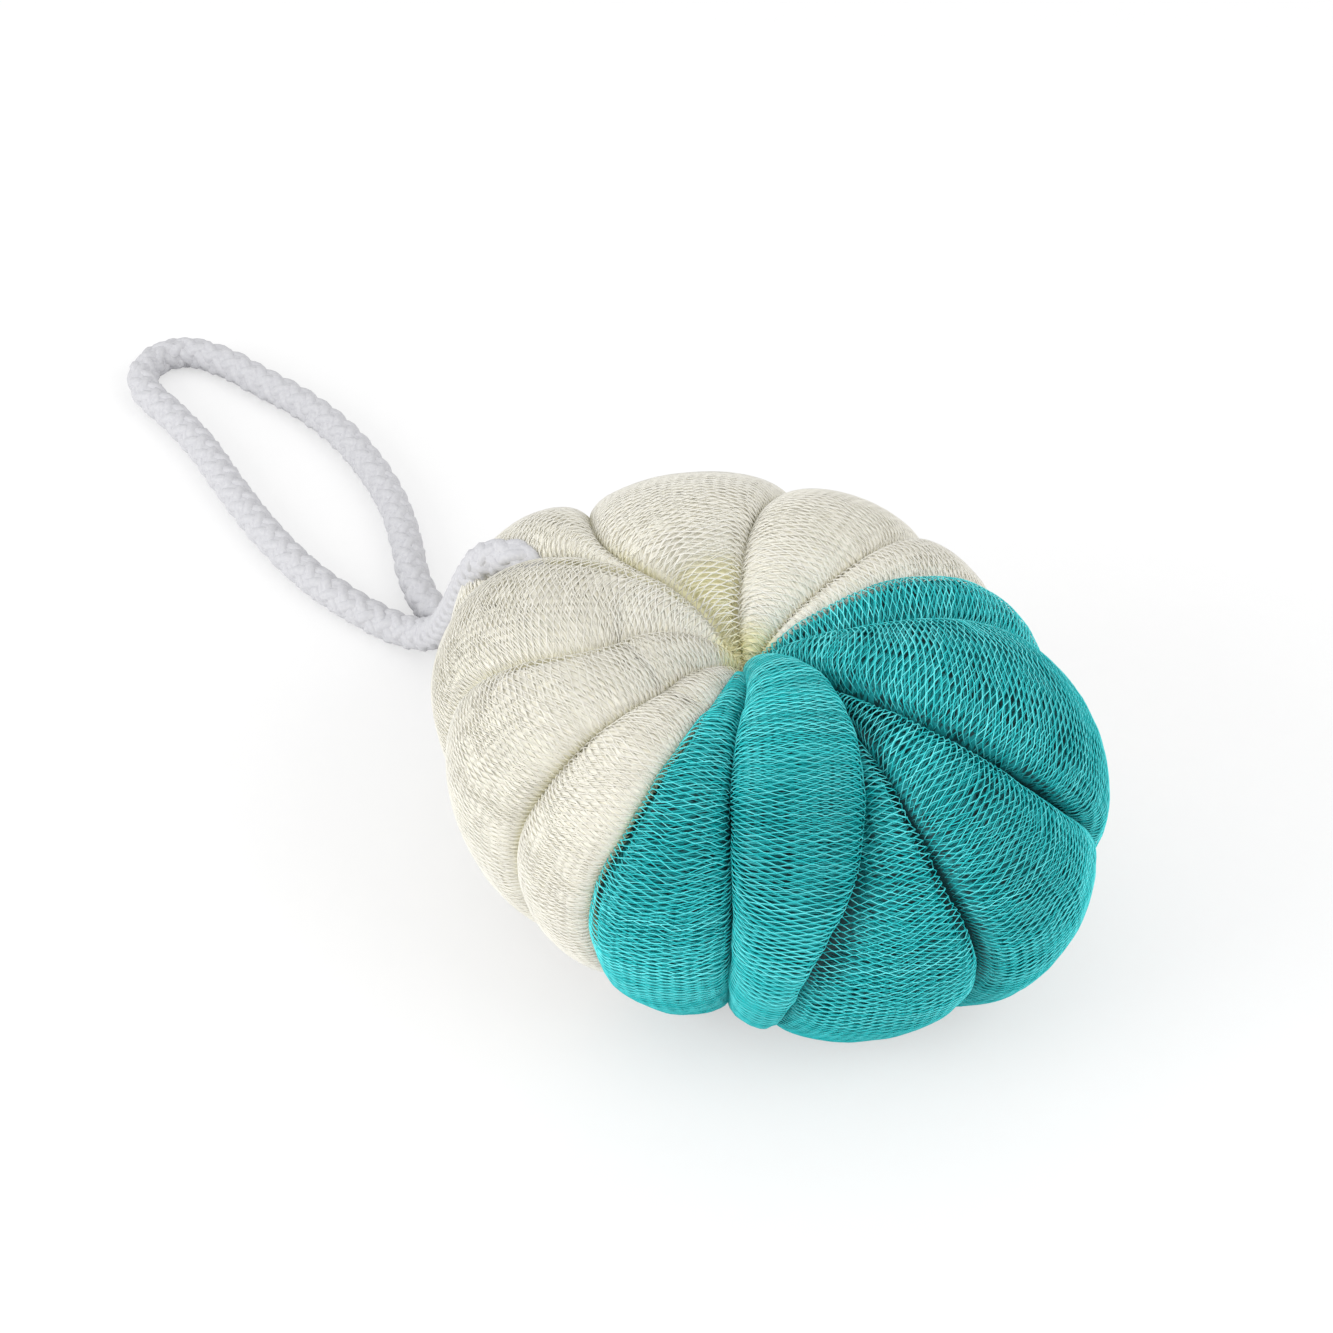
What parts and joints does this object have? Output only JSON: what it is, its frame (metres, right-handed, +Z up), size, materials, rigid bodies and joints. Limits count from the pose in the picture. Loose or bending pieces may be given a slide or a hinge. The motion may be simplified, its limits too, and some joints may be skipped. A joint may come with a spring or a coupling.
{
  "type": "shower loofah",
  "caption": "Round netting bath puff in two colours, gathered into petals round a tied waist, with a braided rope loop for hanging.",
  "frame": {"origin": "on the surface that the puff rests on, under the middle of the puff's own box, the rope left out", "axes": "+Z up along the tied axis, out of the hub that the picture shows; +Y away from the picture's viewer, towards the side that the rope leaves from; +X to the viewer's right"},
  "size_m": [0.1959, 0.2285, 0.0707],
  "materials": {
    "cream_net": "semi-gloss plastic netting",
    "teal_net": "semi-gloss plastic netting",
    "white_cord": "matt",
    "white_rope": "matt braid"
  },
  "bodies": {
    "root": {"cream_netting": "cream_net", "teal_netting": "teal_net", "waist_tie": "white_cord", "hanging_rope": "white_rope"}
  },
  "joints": []
}
